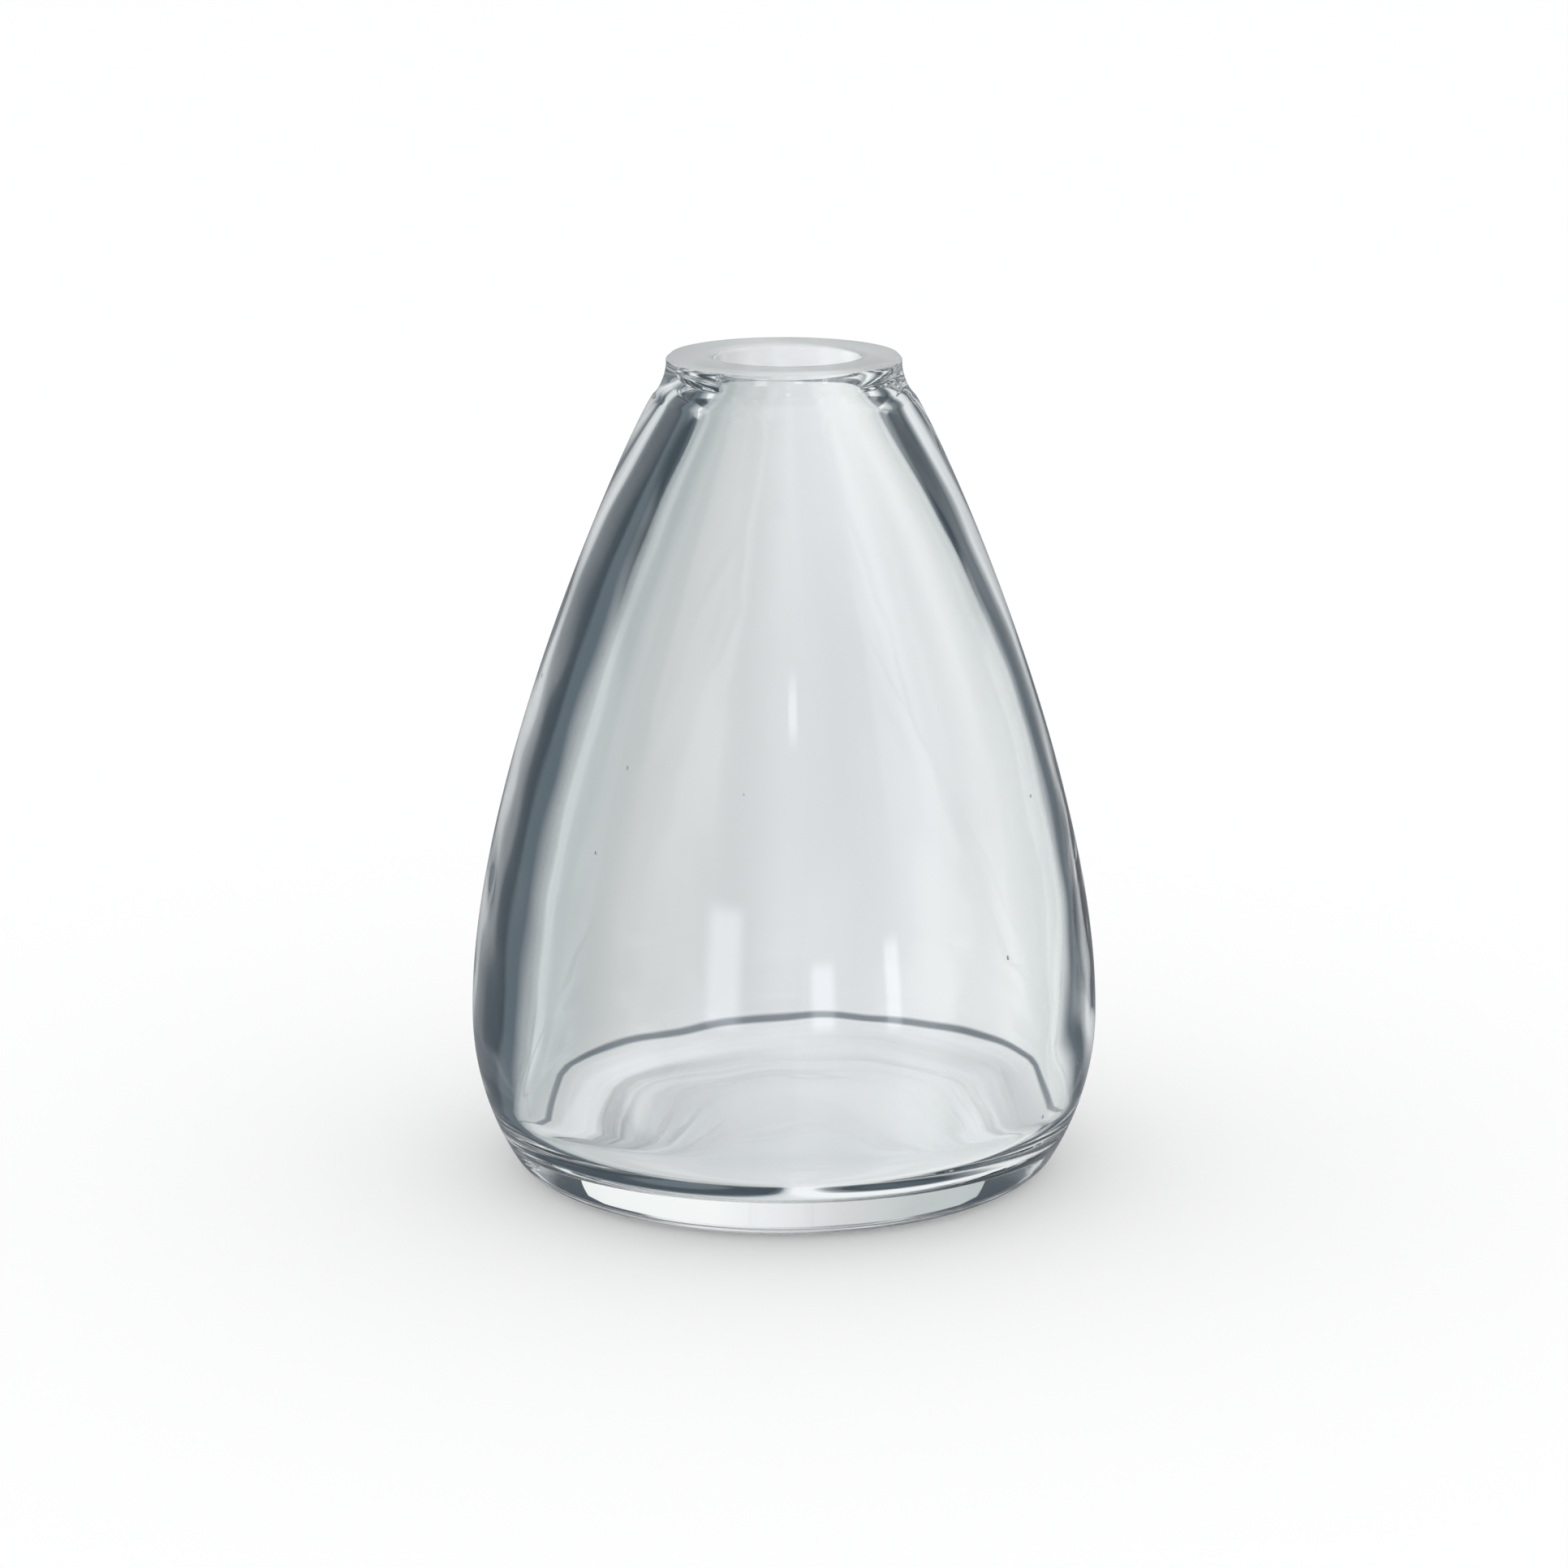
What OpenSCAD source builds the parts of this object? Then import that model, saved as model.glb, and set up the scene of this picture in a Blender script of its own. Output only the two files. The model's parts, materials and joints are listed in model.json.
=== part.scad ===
// Bud vase in thick clear glass: a pear-shaped body on a heavy base, a short
// collar and a ground, frosted rim round a narrow mouth.
//
// Millimetres. The origin is the middle of the resting face, and +Z runs up
// through the mouth. The vase is one pour of glass, so its regions meet face
// to face and share one outline, which each region cuts at its own height.

/* [Body] */
// Height from the table to the ground rim
vase_h = 130.5; // [128:0.5:136]
// Widest diameter, low on the belly
belly_d = 100; // [97:0.5:106]
// Height of the widest point above the table
belly_z = 24.5; // [23:0.5:27]
// Thickness of the wall at the widest point
wall_t = 6.8; // [6:0.1:8]
// How far the outside stays upright above the widest point
outer_fullness = 38.5; // [36:0.5:41]
// How far the inside stays upright above the widest point
inner_fullness = 12; // [9:1:16]

/* [Base] */
// Thickness of the glass under the hollow
floor_t = 6.6; // [6:0.2:8]
// Radius of the long curve from the belly down to the foot
heel_round = 42; // [40:1:46]
// Radius of the tight curve where the heel turns under
foot_round = 6; // [5:0.5:7]
// Radius of the inside corner between the floor and the wall
corner_round = 7.5; // [6:0.5:9]
// Depth of the shallow punt under the base
punt_h = 0.3; // [0.2:0.1:0.6]
// Diameter of the punt, inside the ring that the vase stands on
punt_d = 60; // [50:1:68]

/* [Collar and rim] */
// Outside diameter of the rim
rim_d = 36.8; // [36:0.2:39]
// Outside diameter where the collar grows out of the shoulder
collar_foot_d = 41.2; // [40:0.2:44]
// Height of the collar, rim included
collar_h = 6.5; // [6:0.1:7.5]
// Bore of the mouth
mouth_d = 23.4; // [22:0.2:26]
// Height of the straight throat below the rim
throat_h = 6; // [5:0.1:7]
// Depth of the ground glass at the rim
ground_h = 1.2; // [1:0.1:1.8]
// Width of the bevel ground round the outside of the rim
outer_bevel = 0.6; // [0.4:0.1:0.9]
// Width of the fine arris ground round the mouth
mouth_arris = 0.5; // [0.3:0.1:0.8]

/* [Hidden] */
$fn = 180;

belly_r = belly_d / 2;
hollow_r = belly_r - wall_t;
rim_r = rim_d / 2;
mouth_r = mouth_d / 2;
collar_foot_r = collar_foot_d / 2;
punt_r = punt_d / 2;

// Heights at which one region gives way to the next
collar_z = vase_h - collar_h;
ground_z = vase_h - ground_h;
throat_z = vase_h - throat_h;
shoulder_z = (belly_z + collar_z) / 2;

// How the outside and the inside lean as they reach the collar and the throat:
// radius gained for each millimetre down, over the length of the curve's arm
outer_lean = 0.73;
outer_arm = 4.2;
inner_lean = 0.6;
inner_arm = 48;

// Segments along each curve of the outline
wall_steps = 24;
heel_steps = 10;
round_steps = 8;
punt_steps = 6;

clear_color = [0.80, 0.86, 0.88, 0.35];
ground_color = [0.82, 0.83, 0.84, 0.9];

function bezier(p, t) =
    pow(1 - t, 3) * p[0] + 3 * t * pow(1 - t, 2) * p[1]
    + 3 * t * t * (1 - t) * p[2] + pow(t, 3) * p[3];

function curve(p, steps) = [for (i = [0:steps]) bezier(p, i / steps)];

function arc(centre, radius, from, to, steps) =
    [for (i = [0:steps])
        let (a = from + (to - from) * i / steps)
        centre + radius * [cos(a), sin(a)]];

// The punt: a shallow dome, from its crown on the axis out to its edge
function punt() =
    let (dome = (punt_r * punt_r + punt_h * punt_h) / (2 * punt_h))
    arc([0, punt_h - dome], dome, 90, 90 - asin(punt_r / dome), punt_steps);

// The foot's tight curve is tangent to the table and to the heel's long curve
function foot_angle() = -asin((belly_z - foot_round) / (heel_round - foot_round));

function heel_centre() = [belly_r - heel_round, belly_z];

function foot_centre() =
    heel_centre()
    + (heel_round - foot_round) * [cos(foot_angle()), sin(foot_angle())];

function outside_below() = concat(
    arc(foot_centre(), foot_round, -90, foot_angle(), round_steps),
    arc(heel_centre(), heel_round, foot_angle(), 0, heel_steps));

function outside_above() = concat(
    curve([[belly_r, belly_z],
           [belly_r, belly_z + outer_fullness],
           [collar_foot_r + outer_lean * outer_arm, collar_z - outer_arm],
           [collar_foot_r, collar_z]], wall_steps),
    curve([[collar_foot_r, collar_z],
           [rim_r + outer_lean, collar_z + ground_h],
           [rim_r, ground_z - ground_h],
           [rim_r, ground_z]], round_steps));

function rim_top() = [
    [rim_r, vase_h - outer_bevel],
    [rim_r - outer_bevel, vase_h],
    [mouth_r + mouth_arris, vase_h],
    [mouth_r, vase_h - mouth_arris]];

function inside() = concat(
    curve([[mouth_r, throat_z],
           [mouth_r + inner_lean * inner_arm, throat_z - inner_arm],
           [hollow_r, belly_z + inner_fullness],
           [hollow_r, belly_z]], wall_steps),
    arc([hollow_r - corner_round, floor_t + corner_round],
        corner_round, 0, -90, round_steps),
    [[0, floor_t]]);

module outline() {
    polygon(concat(punt(), outside_below(), outside_above(), rim_top(), inside()));
}

// The ring or disc of glass between two heights
module region(low, high) {
    rotate_extrude()
        intersection() {
            outline();
            translate([0, low])
                square([belly_d, high - low]);
        }
}

// The heavy disc that the vase stands on, up to the floor of the hollow
module base() {
    color(clear_color) region(0, floor_t);
}

// The thick ring that rounds from the floor out to the widest point
module heel() {
    color(clear_color) region(floor_t, belly_z);
}

// The lower half of the wall above the widest point
module belly() {
    color(clear_color) region(belly_z, shoulder_z);
}

// The upper half of the wall, closing in to the collar
module shoulder() {
    color(clear_color) region(shoulder_z, collar_z);
}

// The short upright neck below the ground glass
module collar() {
    color(clear_color) region(collar_z, ground_z);
}

// The frosted lip: a ground top face, its outer bevel and its mouth arris
module ground_rim() {
    color(ground_color) region(ground_z, vase_h);
}

base();
heel();
belly();
shoulder();
collar();
ground_rim();
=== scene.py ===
"""Bud vase in thick clear glass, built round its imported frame.

The glass is one seamless, watertight body turned from a single outline: a heavy
base with a shallow punt, a rounded heel, a belly and shoulder, a short collar and
a ground rim round the mouth. It then gets the slow waves, the off-centre hollow,
the wrinkles and the seeds of hand-worked glass. Metres, with the origin in the
middle of the resting face and +Z up through the mouth.
"""

import functools
import json
import math
import random

import bmesh
import bpy
from bpy.props import (
    FloatProperty,
    FloatVectorProperty,
    IntProperty,
    PointerProperty,
)
from bpy.types import Operator, Panel, PropertyGroup
from mathutils import Matrix, Vector, noise


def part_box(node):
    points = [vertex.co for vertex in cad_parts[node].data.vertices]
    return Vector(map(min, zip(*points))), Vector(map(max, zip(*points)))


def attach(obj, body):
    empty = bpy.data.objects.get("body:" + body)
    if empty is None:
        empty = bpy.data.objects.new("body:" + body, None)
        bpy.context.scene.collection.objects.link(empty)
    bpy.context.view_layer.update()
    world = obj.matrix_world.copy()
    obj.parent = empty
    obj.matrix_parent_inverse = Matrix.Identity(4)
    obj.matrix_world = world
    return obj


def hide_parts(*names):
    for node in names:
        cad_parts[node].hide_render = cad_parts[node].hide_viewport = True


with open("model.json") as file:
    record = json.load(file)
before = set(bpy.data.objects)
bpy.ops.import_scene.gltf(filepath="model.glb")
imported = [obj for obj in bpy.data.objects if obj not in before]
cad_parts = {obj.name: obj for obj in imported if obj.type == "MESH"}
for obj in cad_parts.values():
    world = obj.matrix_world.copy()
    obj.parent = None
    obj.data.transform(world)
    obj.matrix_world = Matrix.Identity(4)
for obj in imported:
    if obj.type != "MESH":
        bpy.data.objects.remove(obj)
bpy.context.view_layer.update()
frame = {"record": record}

bl_info = {
    "name": "Bud Vase",
    "version": (1, 0, 0),
    "blender": (4, 5, 0),
    "location": "View3D > Sidebar > Bud Vase",
    "description": "Builds a thick clear glass bud vase with a ground rim",
    "category": "Object",
}

BODY = "root"
REGIONS = ("base", "heel", "belly", "shoulder", "collar", "ground_rim")
MM = 0.001

# How the outside and the inside lean as they reach the collar and the throat, over
# the length of each curve's arm, and how far the collar's curve eases at its ends
OUTER_LEAN, OUTER_ARM = 0.73, 4.2 * MM
INNER_LEAN, INNER_ARM = 0.6, 48 * MM
COLLAR_EASE = 1.3 * MM

# Lengths of the waves in the glass, and where they fade out below the throat,
# towards the floor of the hollow, above the foot and below the rim
LONG_WAVE, SHORT_WAVE, OUTER_WAVE = 26 * MM, 9 * MM, 22 * MM
THROAT_CALM, FOOT_CALM, RIM_CALM = 20 * MM, 12 * MM, 25 * MM
FLOOR_EFFECT_TOP, FLOOR_EFFECT_DEPTH = 16 * MM, 10 * MM

# Spots of fine wrinkles on the floor of the hollow, in millimetres: x, y, size of
# the spot and distance from one wrinkle to the next
CHILL_SPOTS = ((-30, -1, 5, 3.2), (24, -5, 5, 2.6), (27, 8, 6, 4), (-22, 18, 7, 4.5))
WRINKLE_WANDER = 6 * MM

# Light round the vase, as colours by bearing in degrees: 0 is straight behind it
# as the camera looks, and positive bearings are to the right. The pattern of the
# backdrop and the walls repeats every third of a turn.
PATTERN = 120
PAPER_LIGHT = (1.1, 1.1, 1.1)
OVERHEAD = (0.92, 0.92, 0.92)
ROOM = (0.26, 0.27, 0.29)
WINDOW = (3.6, 3.7, 4.1)
SLATE = (0.03, 0.05, 0.066)
STEEL = (0.11, 0.145, 0.17)
GREY = (0.3, 0.33, 0.35)
PALE = (0.6, 0.63, 0.64)
WHITE = (0.93, 0.96, 0.97)
BACKDROP = (
    (-60, (0.88, 0.91, 0.91)),
    (-48, (0.8, 0.84, 0.84)),
    (-42, (0.55, 0.59, 0.59)),
    (-20, (0.54, 0.58, 0.58)),
    (-8, (0.7, 0.71, 0.71)),
    (0, (0.84, 0.85, 0.87)),
    (10, (0.97, 0.99, 0.98)),
    (45, (0.98, 1.01, 1.0)),
    (60, (0.88, 0.91, 0.91)),
)
LOW_WALLS = (
    (-60, PALE),
    (-46, STEEL),
    (-38, STEEL),
    (-34, SLATE),
    (-12, SLATE),
    (-7, STEEL),
    (-3, PALE),
    (3, WHITE),
    (15, WHITE),
    (21, GREY),
    (27, SLATE),
    (37, STEEL),
    (45, PALE),
    (52, WHITE),
)
HIGH_WALLS = (
    (-60, STEEL),
    (-54, SLATE),
    (-26, SLATE),
    (-20, GREY),
    (-17, WHITE),
    (-12, PALE),
    (4, PALE),
    (15, WHITE),
    (19, WHITE),
    (22, SLATE),
    (44, SLATE),
    (52, GREY),
)
# Sines of the heights between which the low walls give way to the high ones, the
# high ones to the overhead light, and the room to the overhead light
LOW_TO_HIGH = (0.12, 0.24)
HIGH_TO_OVERHEAD = (0.5, 0.8)
ROOM_TO_OVERHEAD = (0.0, 0.9)
# Bright openings behind the camera, reflected in the outside: middle and half width
# of each in degrees, and the sines of the heights between which it stands
WINDOWS = (
    (-158, 9, -0.1, 0.18),
    (166, 6, -0.1, 0.08),
    (140, 4, -0.12, 0.1),
    (176, 3, 0.37, 0.46),
)
WINDOW_BLUR = 0.04
# The painted shadow round the foot, a dark glowing ring seen only through the glass:
# the radii where it starts, is full, fades and ends, and how much light it takes away
FOOT_SHADE = (58 * MM, 61 * MM, 64 * MM, 69 * MM)
SHADE_STRENGTH = 0.85

FLOOR_HALF = 6.0
BOUNCES = 32


@functools.cache
def node_radius(node):
    """Half the width of a CAD node."""
    low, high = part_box(node)
    return (high.x - low.x) / 2


@functools.cache
def node_top(node):
    """Height of a CAD node's upper face."""
    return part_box(node)[1].z


def mount(name):
    """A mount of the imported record."""
    return next(m for m in frame["record"]["mounts"] if m["name"] == name)


# ---------------------------------------------------------------- properties


class VaseShape(PropertyGroup):
    """Sizes of the glass that the frame's boxes don't give."""

    wall: FloatProperty(
        name="Wall",
        description="Thickness of the wall at the widest point",
        default=6.8 * MM,
        min=5 * MM,
        max=9 * MM,
        unit="LENGTH",
    )
    outer_fullness: FloatProperty(
        name="Outer fullness",
        description="How far the outside stays upright above the widest point",
        default=38.5 * MM,
        unit="LENGTH",
    )
    inner_fullness: FloatProperty(
        name="Inner fullness",
        description="How far the inside stays upright above the widest point",
        default=12 * MM,
        unit="LENGTH",
    )
    heel_round: FloatProperty(
        name="Heel radius",
        description="Radius of the long curve from the belly down to the foot",
        default=42 * MM,
        unit="LENGTH",
    )
    foot_round: FloatProperty(
        name="Foot radius",
        description="Radius of the tight curve where the heel turns under",
        default=6 * MM,
        unit="LENGTH",
    )
    corner_round: FloatProperty(
        name="Inside corner radius",
        description="Radius of the corner between the floor and the wall",
        default=7.5 * MM,
        unit="LENGTH",
    )
    punt_height: FloatProperty(
        name="Punt height",
        description="Depth of the shallow dome under the base",
        default=0.3 * MM,
        unit="LENGTH",
    )
    punt_radius: FloatProperty(
        name="Punt radius",
        description="Radius of the shallow dome under the base",
        default=30 * MM,
        unit="LENGTH",
    )
    outer_bevel: FloatProperty(
        name="Outer bevel",
        description="Width of the bevel ground round the outside of the rim",
        default=0.6 * MM,
        unit="LENGTH",
    )
    mouth_arris: FloatProperty(
        name="Mouth arris",
        description="Width of the fine arris ground round the mouth",
        default=0.5 * MM,
        unit="LENGTH",
    )
    throat: FloatProperty(
        name="Throat",
        description="Height of the straight throat below the rim",
        default=6 * MM,
        unit="LENGTH",
    )
    mouth_drift: FloatProperty(
        name="Mouth drift",
        description="How far the mouth stands to the right of the vase's axis",
        default=0.4 * MM,
        unit="LENGTH",
    )
    belly_drift: FloatProperty(
        name="Belly drift",
        description="How much further to the right the hollow stands halfway down",
        default=1.6 * MM,
        unit="LENGTH",
    )
    inner_waves: FloatProperty(
        name="Inner waves",
        description="Height of the slow waves in the fire-polished inside",
        default=0.2 * MM,
        unit="LENGTH",
    )
    outer_waves: FloatProperty(
        name="Outer waves",
        description="Height of the slow waves in the outside",
        default=0.05 * MM,
        unit="LENGTH",
    )
    chill_marks: FloatProperty(
        name="Chill marks",
        description="Height of the fine wrinkles where the hot glass met cold metal",
        default=0.02 * MM,
        unit="LENGTH",
    )
    seeds: IntProperty(
        name="Seeds",
        description="Number of tiny bubbles caught in the glass",
        default=12,
        min=0,
        max=40,
    )
    turns: IntProperty(
        name="Points round",
        description="Points in each ring of the turned glass",
        default=288,
        min=64,
        max=360,
    )


class VaseGlass(PropertyGroup):
    """Colour and finish of the glass."""

    tint: FloatVectorProperty(
        name="Glass tint",
        description="Colour that the clear glass leaves in light passing through it",
        default=(0.985, 0.994, 0.995),
        subtype="COLOR",
        min=0,
        max=1,
    )
    ground_tint: FloatVectorProperty(
        name="Ground tint",
        description="Colour of the frosted glass at the rim",
        default=(0.93, 0.935, 0.94),
        subtype="COLOR",
        min=0,
        max=1,
    )
    ior: FloatProperty(
        name="Refractive index",
        description="Refractive index of the glass",
        default=1.5,
        min=1.4,
        max=1.7,
    )
    ground_roughness: FloatProperty(
        name="Ground roughness",
        description="Roughness of the frosted glass at the rim",
        default=0.5,
        min=0.2,
        max=1,
        subtype="FACTOR",
    )


class VaseStudio(PropertyGroup):
    """Floor, light and camera."""

    floor_color: FloatVectorProperty(
        name="Floor colour",
        description="Colour of the plain floor",
        default=(0.96, 0.96, 0.96),
        subtype="COLOR",
        min=0,
        max=1,
    )
    camera_distance: FloatProperty(
        name="Camera distance",
        description="Level distance from the vase's axis to the camera",
        default=0.75,
        unit="LENGTH",
    )
    camera_height: FloatProperty(
        name="Camera height",
        description="Height of the camera above the floor",
        default=0.2466,
        unit="LENGTH",
    )
    aim_height: FloatProperty(
        name="Aim height",
        description="Height of the point on the vase's axis that the camera aims at",
        default=0.0616,
        unit="LENGTH",
    )
    lens: FloatProperty(
        name="Lens",
        description="Focal length of the camera in millimetres",
        default=111.5,
        min=35,
        max=200,
    )


# ------------------------------------------------------------------- outline
# Points of an outline are (radius, height) pairs in metres.


def bezier(ends, steps):
    """Points along a cubic curve given by its four control points."""
    points = []
    for i in range(steps + 1):
        t = i / steps
        weights = ((1 - t) ** 3, 3 * t * (1 - t) ** 2, 3 * t * t * (1 - t), t**3)
        points.append(
            tuple(sum(w * end[axis] for w, end in zip(weights, ends)) for axis in (0, 1))
        )
    return points


def arc(centre, radius, start, end, steps):
    """Points along an arc, with its angles in radians."""
    points = []
    for i in range(steps + 1):
        a = start + (end - start) * i / steps
        points.append((centre[0] + radius * math.cos(a), centre[1] + radius * math.sin(a)))
    return points


def line(start, end, steps):
    """Evenly spaced points along a straight line."""
    return [
        (
            start[0] + (end[0] - start[0]) * i / steps,
            start[1] + (end[1] - start[1]) * i / steps,
        )
        for i in range(steps + 1)
    ]


def underside(shape):
    """The punt and the flat ring that the vase stands on, from the axis outward."""
    dome = (shape.punt_radius**2 + shape.punt_height**2) / (2 * shape.punt_height)
    edge = math.asin(shape.punt_radius / dome)
    top = math.pi / 2
    return arc((0, shape.punt_height - dome), dome, top, top - edge, 8)


def outside(shape):
    """The foot, heel, belly, shoulder and collar, from the table up to the rim."""
    belly_r = node_radius("belly")
    belly_z = node_top("heel")
    heel = (belly_r - shape.heel_round, belly_z)
    reach = shape.heel_round - shape.foot_round
    low = -math.asin((belly_z - shape.foot_round) / reach)
    foot = (heel[0] + reach * math.cos(low), heel[1] + reach * math.sin(low))
    collar_r, collar_z = node_radius("collar"), node_top("shoulder")
    rim_r, rim_z = node_radius("ground_rim"), node_top("collar")
    return (
        arc(foot, shape.foot_round, -math.pi / 2, low, 14)
        + arc(heel, shape.heel_round, low, 0, 24)[1:]
        + bezier(
            [
                (belly_r, belly_z),
                (belly_r, belly_z + shape.outer_fullness),
                (collar_r + OUTER_LEAN * OUTER_ARM, collar_z - OUTER_ARM),
                (collar_r, collar_z),
            ],
            72,
        )[1:]
        + bezier(
            [
                (collar_r, collar_z),
                (rim_r + OUTER_LEAN * MM, collar_z + COLLAR_EASE),
                (rim_r, rim_z - COLLAR_EASE),
                (rim_r, rim_z),
            ],
            12,
        )[1:]
    )


def ground_face(shape):
    """The bevel, the flat top and the arris of the rim, from outside to mouth."""
    rim_r, top = node_radius("ground_rim"), node_top("ground_rim")
    mouth_r = mount("mouth")["dims"]["r_mm"] * MM
    ring = line(
        (rim_r - shape.outer_bevel, top), (mouth_r + shape.mouth_arris, top), 8
    )
    return (
        [(rim_r, top - shape.outer_bevel)] + ring + [(mouth_r, top - shape.mouth_arris)]
    )


def inside(shape):
    """The throat, the hollow and its floor, from the mouth down to the axis."""
    top = node_top("ground_rim")
    floor = node_top("base")
    belly_z = node_top("heel")
    mouth_r = mount("mouth")["dims"]["r_mm"] * MM
    hollow_r = node_radius("belly") - shape.wall
    throat_z = top - shape.throat
    corner = (hollow_r - shape.corner_round, floor + shape.corner_round)
    return (
        line((mouth_r, top - shape.mouth_arris), (mouth_r, throat_z), 8)[1:]
        + bezier(
            [
                (mouth_r, throat_z),
                (mouth_r + INNER_LEAN * INNER_ARM, throat_z - INNER_ARM),
                (hollow_r, belly_z + shape.inner_fullness),
                (hollow_r, belly_z),
            ],
            80,
        )[1:]
        + line((hollow_r, belly_z), (hollow_r, corner[1]), 8)[1:]
        + arc(corner, shape.corner_round, 0, -math.pi / 2, 16)[1:]
        + line((corner[0], floor), (0, floor), 48)[1:]
    )


# -------------------------------------------------------------------- meshes


def turned(outline, turns):
    """Vertices and faces of an outline turned once round the Z axis. The outline
    starts and ends on the axis, where each end closes in a fan."""
    rings = outline[1:-1]
    verts = []
    for r, z in rings:
        for j in range(turns):
            a = 2 * math.pi * j / turns
            verts.append(Vector((r * math.cos(a), r * math.sin(a), z)))
    first, last = len(verts), len(verts) + 1
    verts.append(Vector((0, 0, outline[0][1])))
    verts.append(Vector((0, 0, outline[-1][1])))
    faces = []
    for i in range(len(rings) - 1):
        for j in range(turns):
            k = (j + 1) % turns
            faces.append(
                (i * turns + j, i * turns + k, (i + 1) * turns + k, (i + 1) * turns + j)
            )
    top = (len(rings) - 1) * turns
    for j in range(turns):
        k = (j + 1) % turns
        faces.append((first, k, j))
        faces.append((last, top + j, top + k))
    return verts, faces


def ring_normals(outline):
    """The outward direction at each of an outline's points but the two ends."""
    normals = []
    for before, after in zip(outline[:-2], outline[2:]):
        along = Vector((after[0] - before[0], after[1] - before[1])).normalized()
        normals.append((along.y, -along.x))
    return normals


def waves(point, length, seed):
    """Smooth unevenness from about -1 to 1, repeating every few lengths."""
    return noise.noise(point / length + Vector((seed, seed, seed)))


def drift(shape, height):
    """How far the hollow's middle stands to the right of the axis at a height."""
    low, high = node_top("base"), node_top("ground_rim")
    share = min(max((height - low) / (high - low), 0), 1)
    return shape.mouth_drift + shape.belly_drift * math.sin(math.pi * share)


def inner_unevenness(shape, point):
    """Height of the inside's waves and wrinkles at a point."""
    throat_z = node_top("ground_rim") - shape.throat
    calm = min(max((throat_z - point.z) / THROAT_CALM, 0), 1)
    on_floor = min(max((FLOOR_EFFECT_TOP - point.z) / FLOOR_EFFECT_DEPTH, 0), 1)
    height = waves(point, LONG_WAVE, 3.1) + 0.25 * waves(point, SHORT_WAVE, 8.7)
    height *= shape.inner_waves * (1 - 0.8 * on_floor)
    for x, y, size, length in CHILL_SPOTS:
        away = Vector((point.x - x * MM, point.y - y * MM))
        fade = math.exp(-((away.length / (size * MM)) ** 2))
        turn = 2 * math.pi * math.hypot(point.x, point.y) / (length * MM)
        wrinkle = math.sin(turn + 2 * waves(point, WRINKLE_WANDER, 1.3))
        height += shape.chill_marks * fade * wrinkle * on_floor
    return height * calm


def work_by_hand(shape, verts, outline, mouth_ring, rim_rings):
    """Gives turned glass the drift and the waves of a piece made by hand."""
    normals = ring_normals(outline)
    top = node_top("ground_rim")
    for index, vert in enumerate(verts[:-2]):
        ring = index // shape.turns
        out, up = normals[ring]
        away = Vector((vert.x, vert.y, 0)).normalized()
        if ring >= mouth_ring:
            height = inner_unevenness(shape, vert)
            vert.x += drift(shape, vert.z)
        else:
            calm = min(vert.z / FOOT_CALM, (top - vert.z) / RIM_CALM, 1)
            height = shape.outer_waves * calm * waves(vert, OUTER_WAVE, 5.9)
            share = max(ring - mouth_ring + rim_rings, 0) / rim_rings
            vert.x += share * drift(shape, vert.z)
        vert += height * (away * out + Vector((0, 0, up)))
    verts[-1].z += inner_unevenness(shape, verts[-1])


def wall_between(outline, mouth_ring, height):
    """The outer and inner radius of the glass at a height above its floor."""
    outer = [point for point in outline[:mouth_ring] if point[1] > 1 * MM]
    inner = outline[mouth_ring + 1 :]
    return [
        min(side, key=lambda point: abs(point[1] - height))[0] for side in (outer, inner)
    ]


def add_seeds(shape, mesh, outline, mouth_ring):
    """Tiny bubbles: closed shells inside the wall, facing into their own air."""
    chance = random.Random(11)
    bubbles = bmesh.new()
    bubbles.from_mesh(mesh)
    low, high = node_top("base") + 8 * MM, node_top("shoulder")
    for _ in range(shape.seeds):
        height = chance.uniform(low, high)
        outer, inner = wall_between(outline, mouth_ring, height)
        r = inner + (outer - inner) * chance.uniform(0.4, 0.6)
        a = chance.uniform(0, 2 * math.pi)
        middle = (r * math.cos(a) + drift(shape, height) / 2, r * math.sin(a), height)
        size = chance.uniform(0.12, 0.3) * MM
        stretch = Matrix.Diagonal((1, 1, chance.uniform(1, 1.8), 1))
        made = bmesh.ops.create_icosphere(
            bubbles, subdivisions=2, radius=size, matrix=Matrix.Translation(middle) @ stretch
        )
        faces = {face for vert in made["verts"] for face in vert.link_faces}
        bmesh.ops.reverse_faces(bubbles, faces=list(faces))
        for face in faces:
            face.smooth = True
    bubbles.to_mesh(mesh)
    bubbles.free()


def add_object(name, mesh):
    """A mesh as an object in the scene."""
    made = bpy.data.objects.new(name, mesh)
    bpy.context.scene.collection.objects.link(made)
    return made


def build_glass(shape, name):
    """The seamless glass body, with the ground faces in material slot 1."""
    start = underside(shape) + outside(shape)
    rim = ground_face(shape)
    outline = start + rim + inside(shape)
    verts, faces = turned(outline, shape.turns)
    low_ring, mouth_ring = len(start) - 1, len(start) + len(rim) - 2
    work_by_hand(shape, verts, outline, mouth_ring, len(rim) - 1)
    mesh = bpy.data.meshes.new(name)
    mesh.from_pydata(verts, [], faces)
    for polygon in mesh.polygons:
        ring = polygon.index // shape.turns
        polygon.use_smooth = True
        polygon.material_index = 1 if low_ring <= ring < mouth_ring else 0
    add_seeds(shape, mesh, outline, mouth_ring)
    mesh.validate()
    return add_object(name, mesh)


# --------------------------------------------------------------- shader nodes


def math_node(tree, operation, first, second=None):
    """A maths node's result. Each input is a socket or a number."""
    node = tree.nodes.new("ShaderNodeMath")
    node.operation = operation
    for socket, value in zip(node.inputs, (first, second)):
        if isinstance(value, bpy.types.NodeSocket):
            tree.links.new(value, socket)
        elif value is not None:
            socket.default_value = value
    return node.outputs[0]


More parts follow.
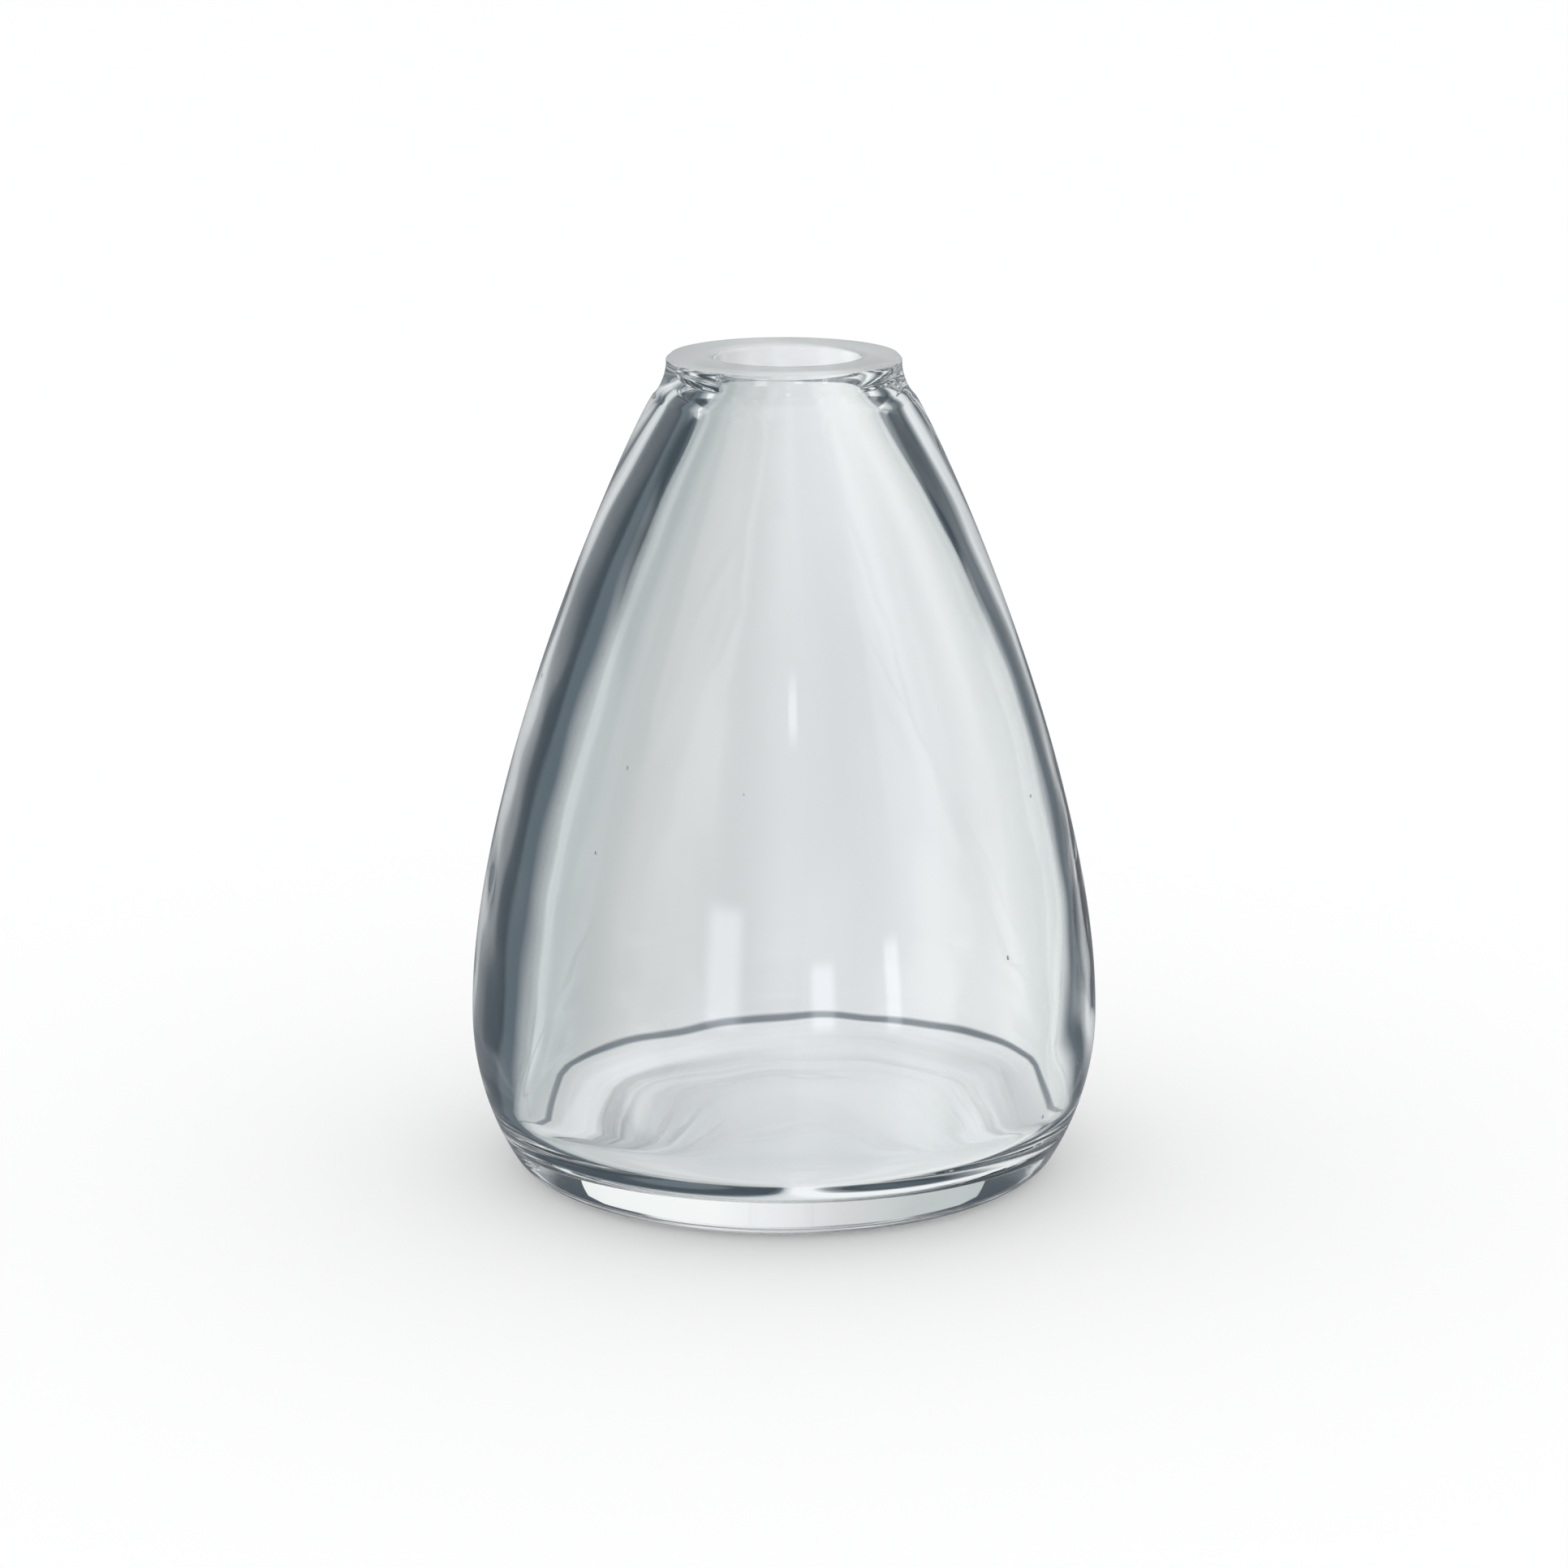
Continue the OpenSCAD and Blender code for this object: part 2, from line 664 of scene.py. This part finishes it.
def span(tree, value, low, high):
    """0 below low, 1 above high and an eased step between them."""
    node = tree.nodes.new("ShaderNodeMapRange")
    node.interpolation_type = "SMOOTHSTEP"
    node.inputs["From Min"].default_value = low
    node.inputs["From Max"].default_value = high
    tree.links.new(value, node.inputs["Value"])
    return node.outputs["Result"]


def blend(tree, share, first, second):
    """first where share is 0 and second where it is 1. Each is a socket or a colour."""
    node = tree.nodes.new("ShaderNodeMix")
    node.data_type = "RGBA"
    tree.links.new(share, node.inputs["Factor"])
    for name, value in (("A", first), ("B", second)):
        socket = next(s for s in node.inputs if s.name == name and s.type == "RGBA")
        if isinstance(value, bpy.types.NodeSocket):
            tree.links.new(value, socket)
        else:
            socket.default_value = (*value, 1)
    return next(s for s in node.outputs if s.type == "RGBA")


def ramp(tree, bearing, stops):
    """A colour for each bearing, from stops of (degrees, colour)."""
    node = tree.nodes.new("ShaderNodeValToRGB")
    elements = node.color_ramp.elements
    while len(elements) < len(stops):
        elements.new(0.5)
    for element, (degrees, color) in zip(elements, stops):
        element.position = degrees / PATTERN + 0.5
        element.color = (*color, 1)
    tree.links.new(bearing, node.inputs["Fac"])
    return node.outputs["Color"]


def between(tree, value, rise, full, fade, gone):
    """0 up to rise, 1 from full to fade and 0 again past gone."""
    falling = math_node(tree, "SUBTRACT", 1, span(tree, value, fade, gone))
    return math_node(tree, "MULTIPLY", span(tree, value, rise, full), falling)


def direction(tree):
    """Where a ray of light comes from: its bearing over a whole turn, its bearing over
    a third of a turn, and the sine of its height. Both bearings run from 0 to 1 to
    the right, with 0.5 straight ahead along +Y."""
    coordinates = tree.nodes.new("ShaderNodeTexCoord")
    split = tree.nodes.new("ShaderNodeSeparateXYZ")
    tree.links.new(coordinates.outputs["Generated"], split.inputs[0])
    turn = math_node(tree, "ARCTAN2", split.outputs["X"], split.outputs["Y"])
    whole = math_node(tree, "ADD", math_node(tree, "DIVIDE", turn, 2 * math.pi), 0.5)
    third = math_node(tree, "DIVIDE", turn, math.radians(PATTERN))
    third = math_node(tree, "FRACT", math_node(tree, "ADD", third, 1.5))
    return whole, third, split.outputs["Z"]


# ----------------------------------------------------------------- materials


def new_material(name):
    """An empty node material and its shader, joined to its output."""
    material = bpy.data.materials.new(name)
    material.use_nodes = True
    nodes = material.node_tree.nodes
    nodes.clear()
    shader = nodes.new("ShaderNodeBsdfPrincipled")
    output = nodes.new("ShaderNodeOutputMaterial")
    material.node_tree.links.new(shader.outputs["BSDF"], output.inputs["Surface"])
    return material, shader


def object_noise(tree, scale, detail):
    """Even noise from 0 to 1, fixed to the object."""
    coordinates = tree.nodes.new("ShaderNodeTexCoord")
    texture = tree.nodes.new("ShaderNodeTexNoise")
    texture.inputs["Scale"].default_value = scale
    texture.inputs["Detail"].default_value = detail
    tree.links.new(coordinates.outputs["Object"], texture.inputs["Vector"])
    return texture.outputs["Fac"]


def add_bump(tree, shader, height, distance, strength):
    """Raises fine relief on the shader's surface."""
    bump = tree.nodes.new("ShaderNodeBump")
    bump.inputs["Distance"].default_value = distance
    bump.inputs["Strength"].default_value = strength
    tree.links.new(height, bump.inputs["Height"])
    tree.links.new(bump.outputs["Normal"], shader.inputs["Normal"])


def clear_glass(glass):
    """Fire-polished clear glass: faint cords in its tint, and a breath of relief."""
    material, shader = new_material("clear_glass")
    tree = material.node_tree
    cords = object_noise(tree, 45, 2)
    deeper = tuple(0.985 * part for part in glass.tint)
    tree.links.new(blend(tree, cords, deeper, glass.tint), shader.inputs["Base Color"])
    add_bump(tree, shader, object_noise(tree, 70, 1), 0.02 * MM, 0.3)
    shader.inputs["Roughness"].default_value = 0
    shader.inputs["IOR"].default_value = glass.ior
    shader.inputs["Transmission Weight"].default_value = 1
    return material


def ground_glass(glass):
    """Fine-ground, frosted glass: sandy, with paler and duller patches."""
    material, shader = new_material("ground_glass")
    tree = material.node_tree
    cloud = object_noise(tree, 160, 3)
    duller = tuple(0.93 * part for part in glass.ground_tint)
    tree.links.new(
        blend(tree, cloud, duller, glass.ground_tint), shader.inputs["Base Color"]
    )
    rough = math_node(tree, "MULTIPLY", cloud, 0.25)
    rough = math_node(tree, "ADD", rough, glass.ground_roughness - 0.12)
    tree.links.new(rough, shader.inputs["Roughness"])
    add_bump(tree, shader, object_noise(tree, 2500, 2), 0.05 * MM, 0.5)
    shader.inputs["IOR"].default_value = glass.ior
    shader.inputs["Transmission Weight"].default_value = 0.6
    return material


# ----------------------------------------------------------------- operators


class VASE_OT_glass_body(Operator):
    """Turn the seamless glass body of the vase"""

    bl_idname = "vase.glass_body"
    bl_label = "Glass Body"

    def execute(self, context):
        scene = context.scene
        piece = build_glass(scene.vase_shape, "vase_glass")
        piece.data.materials.append(clear_glass(scene.vase_glass))
        piece.data.materials.append(ground_glass(scene.vase_glass))
        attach(piece, BODY)
        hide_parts(*REGIONS)
        return {"FINISHED"}


class VASE_OT_studio(Operator):
    """Set the floor, the light and the camera"""

    bl_idname = "vase.studio"
    bl_label = "Studio"

    def execute(self, context):
        studio = context.scene.vase_studio
        self.lay_floor(studio)
        self.lay_shade()
        self.light_world(context.scene)
        self.place_camera(context.scene, studio)
        context.scene.view_settings.view_transform = "Standard"
        context.scene.cycles.max_bounces = BOUNCES
        context.scene.cycles.transmission_bounces = BOUNCES
        context.scene.cycles.glossy_bounces = BOUNCES
        return {"FINISHED"}

    def lay_floor(self, studio):
        """A wide plain floor just under the vase."""
        mesh = bpy.data.meshes.new("floor")
        half = FLOOR_HALF
        corners = [(-half, -half, 0), (half, -half, 0), (half, half, 0), (-half, half, 0)]
        mesh.from_pydata(corners, [], [(0, 1, 2, 3)])
        floor = add_object("floor", mesh)
        floor.location.z = -0.02 * MM
        material, shader = new_material("floor_paper")
        shader.inputs["Base Color"].default_value = (*studio.floor_color, 1)
        shader.inputs["Roughness"].default_value = 0.9
        mesh.materials.append(material)
        floor.visible_transmission = False
        floor.visible_glossy = False

    def lay_shade(self):
        """A painted shadow round the foot: a dark glowing ring that shows only through the
        glass.
        """
        turns = 96
        verts, faces = [], []
        for j in range(turns):
            a = 2 * math.pi * j / turns
            for radius in (0.9 * FOOT_SHADE[0], 1.1 * FOOT_SHADE[-1]):
                verts.append((radius * math.cos(a), radius * math.sin(a), 0))
            k = (j + 1) % turns
            faces.append((2 * j, 2 * j + 1, 2 * k + 1, 2 * k))
        mesh = bpy.data.meshes.new("foot_shade")
        mesh.from_pydata(verts, [], faces)
        shade = add_object("foot_shade", mesh)
        shade.location.z = -0.01 * MM
        material = bpy.data.materials.new("foot_shade")
        material.use_nodes = True
        tree = material.node_tree
        tree.nodes.clear()
        coordinates = tree.nodes.new("ShaderNodeTexCoord")
        length = tree.nodes.new("ShaderNodeVectorMath")
        length.operation = "LENGTH"
        tree.links.new(coordinates.outputs["Object"], length.inputs[0])
        share = between(tree, length.outputs["Value"], *FOOT_SHADE)
        # Painted shadow: a dark glow, faded in and out across the ring's radii
        dark = tree.nodes.new("ShaderNodeEmission")
        dark.inputs["Color"].default_value = (*STEEL, 1)
        mix = tree.nodes.new("ShaderNodeMixShader")
        share = math_node(tree, "MULTIPLY", share, SHADE_STRENGTH)
        clear = tree.nodes.new("ShaderNodeBsdfTransparent")
        tree.links.new(share, mix.inputs["Fac"])
        tree.links.new(clear.outputs["BSDF"], mix.inputs[1])
        tree.links.new(dark.outputs["Emission"], mix.inputs[2])
        output = tree.nodes.new("ShaderNodeOutputMaterial")
        tree.links.new(mix.outputs["Shader"], output.inputs["Surface"])
        mesh.materials.append(material)
        shade.visible_camera = False
        shade.visible_diffuse = False
        shade.visible_glossy = False
        shade.visible_shadow = False

    def light_world(self, scene):
        """Soft white light all round, a pale backdrop seen through the glass, and
        darker walls with bright gaps reflected in it."""
        world = bpy.data.worlds.new("surround")
        scene.world = world
        world.use_nodes = True
        tree = world.node_tree
        tree.nodes.clear()
        path = tree.nodes.new("ShaderNodeLightPath").outputs
        whole, bearing, height = direction(tree)
        backdrop = ramp(tree, bearing, BACKDROP)
        low = ramp(tree, bearing, LOW_WALLS)
        high = ramp(tree, bearing, HIGH_WALLS)
        walls = blend(tree, span(tree, height, *LOW_TO_HIGH), low, high)
        walls = blend(tree, span(tree, height, *HIGH_TO_OVERHEAD), walls, OVERHEAD)
        outside = blend(tree, span(tree, height, *ROOM_TO_OVERHEAD), ROOM, OVERHEAD)
        for middle, half, low_edge, high_edge in WINDOWS:
            left, right = (middle - half) / 360 + 0.5, (middle + half) / 360 + 0.5
            soft = (right - left) / 3
            across = between(tree, whole, left, left + soft, right - soft, right)
            low_full, high_full = low_edge + WINDOW_BLUR, high_edge - WINDOW_BLUR
            upward = between(tree, height, low_edge, low_full, high_full, high_edge)
            lit = math_node(tree, "MULTIPLY", across, upward)
            outside = blend(tree, lit, outside, WINDOW)
        entered = math_node(tree, "GREATER_THAN", path["Transmission Depth"], 0.5)
        reflected = math_node(tree, "GREATER_THAN", path["Glossy Depth"], 0.5)
        glass_sees = blend(tree, reflected, backdrop, blend(tree, entered, outside, walls))
        scattered = math_node(tree, "GREATER_THAN", path["Diffuse Depth"], 0.5)
        plain = math_node(tree, "MAXIMUM", path["Is Camera Ray"], scattered)
        color = blend(tree, plain, glass_sees, PAPER_LIGHT)
        background = tree.nodes.new("ShaderNodeBackground")
        tree.links.new(color, background.inputs["Color"])
        output = tree.nodes.new("ShaderNodeOutputWorld")
        tree.links.new(background.outputs["Background"], output.inputs["Surface"])

    def place_camera(self, scene, studio):
        """The camera stands in front of the vase and looks a little down at it."""
        data = bpy.data.cameras.new("camera")
        data.lens = studio.lens
        camera = bpy.data.objects.new("camera", data)
        scene.collection.objects.link(camera)
        camera.location = (0, -studio.camera_distance, studio.camera_height)
        aim = Vector((0, 0, studio.aim_height)) - camera.location
        camera.rotation_euler = aim.to_track_quat("-Z", "Y").to_euler()
        scene.camera = camera


class VASE_PT_panel(Panel):
    """Lists the vase's pieces and their settings"""

    bl_idname = "VASE_PT_panel"
    bl_label = "Bud Vase"
    bl_space_type = "VIEW_3D"
    bl_region_type = "UI"
    bl_category = "Bud Vase"

    def draw(self, context):
        layout = self.layout
        for operator in OPERATORS:
            layout.operator(operator.bl_idname)
        for group in SETTINGS:
            box = layout.box()
            settings = getattr(context.scene, group)
            for name in settings.bl_rna.properties.keys():
                if name not in ("rna_type", "name"):
                    box.prop(settings, name)


OPERATORS = (VASE_OT_glass_body, VASE_OT_studio)
SETTINGS = {
    "vase_shape": VaseShape,
    "vase_glass": VaseGlass,
    "vase_studio": VaseStudio,
}


def register():
    for cls in (*SETTINGS.values(), *OPERATORS, VASE_PT_panel):
        bpy.utils.register_class(cls)
    for name, cls in SETTINGS.items():
        setattr(bpy.types.Scene, name, PointerProperty(type=cls))


def unregister():
    for name in SETTINGS:
        delattr(bpy.types.Scene, name)
    for cls in (VASE_PT_panel, *reversed(OPERATORS), *reversed(SETTINGS.values())):
        bpy.utils.unregister_class(cls)


def main():
    register()
    bpy.ops.vase.glass_body()
    bpy.ops.vase.studio()


if __name__ == "__main__":
    main()
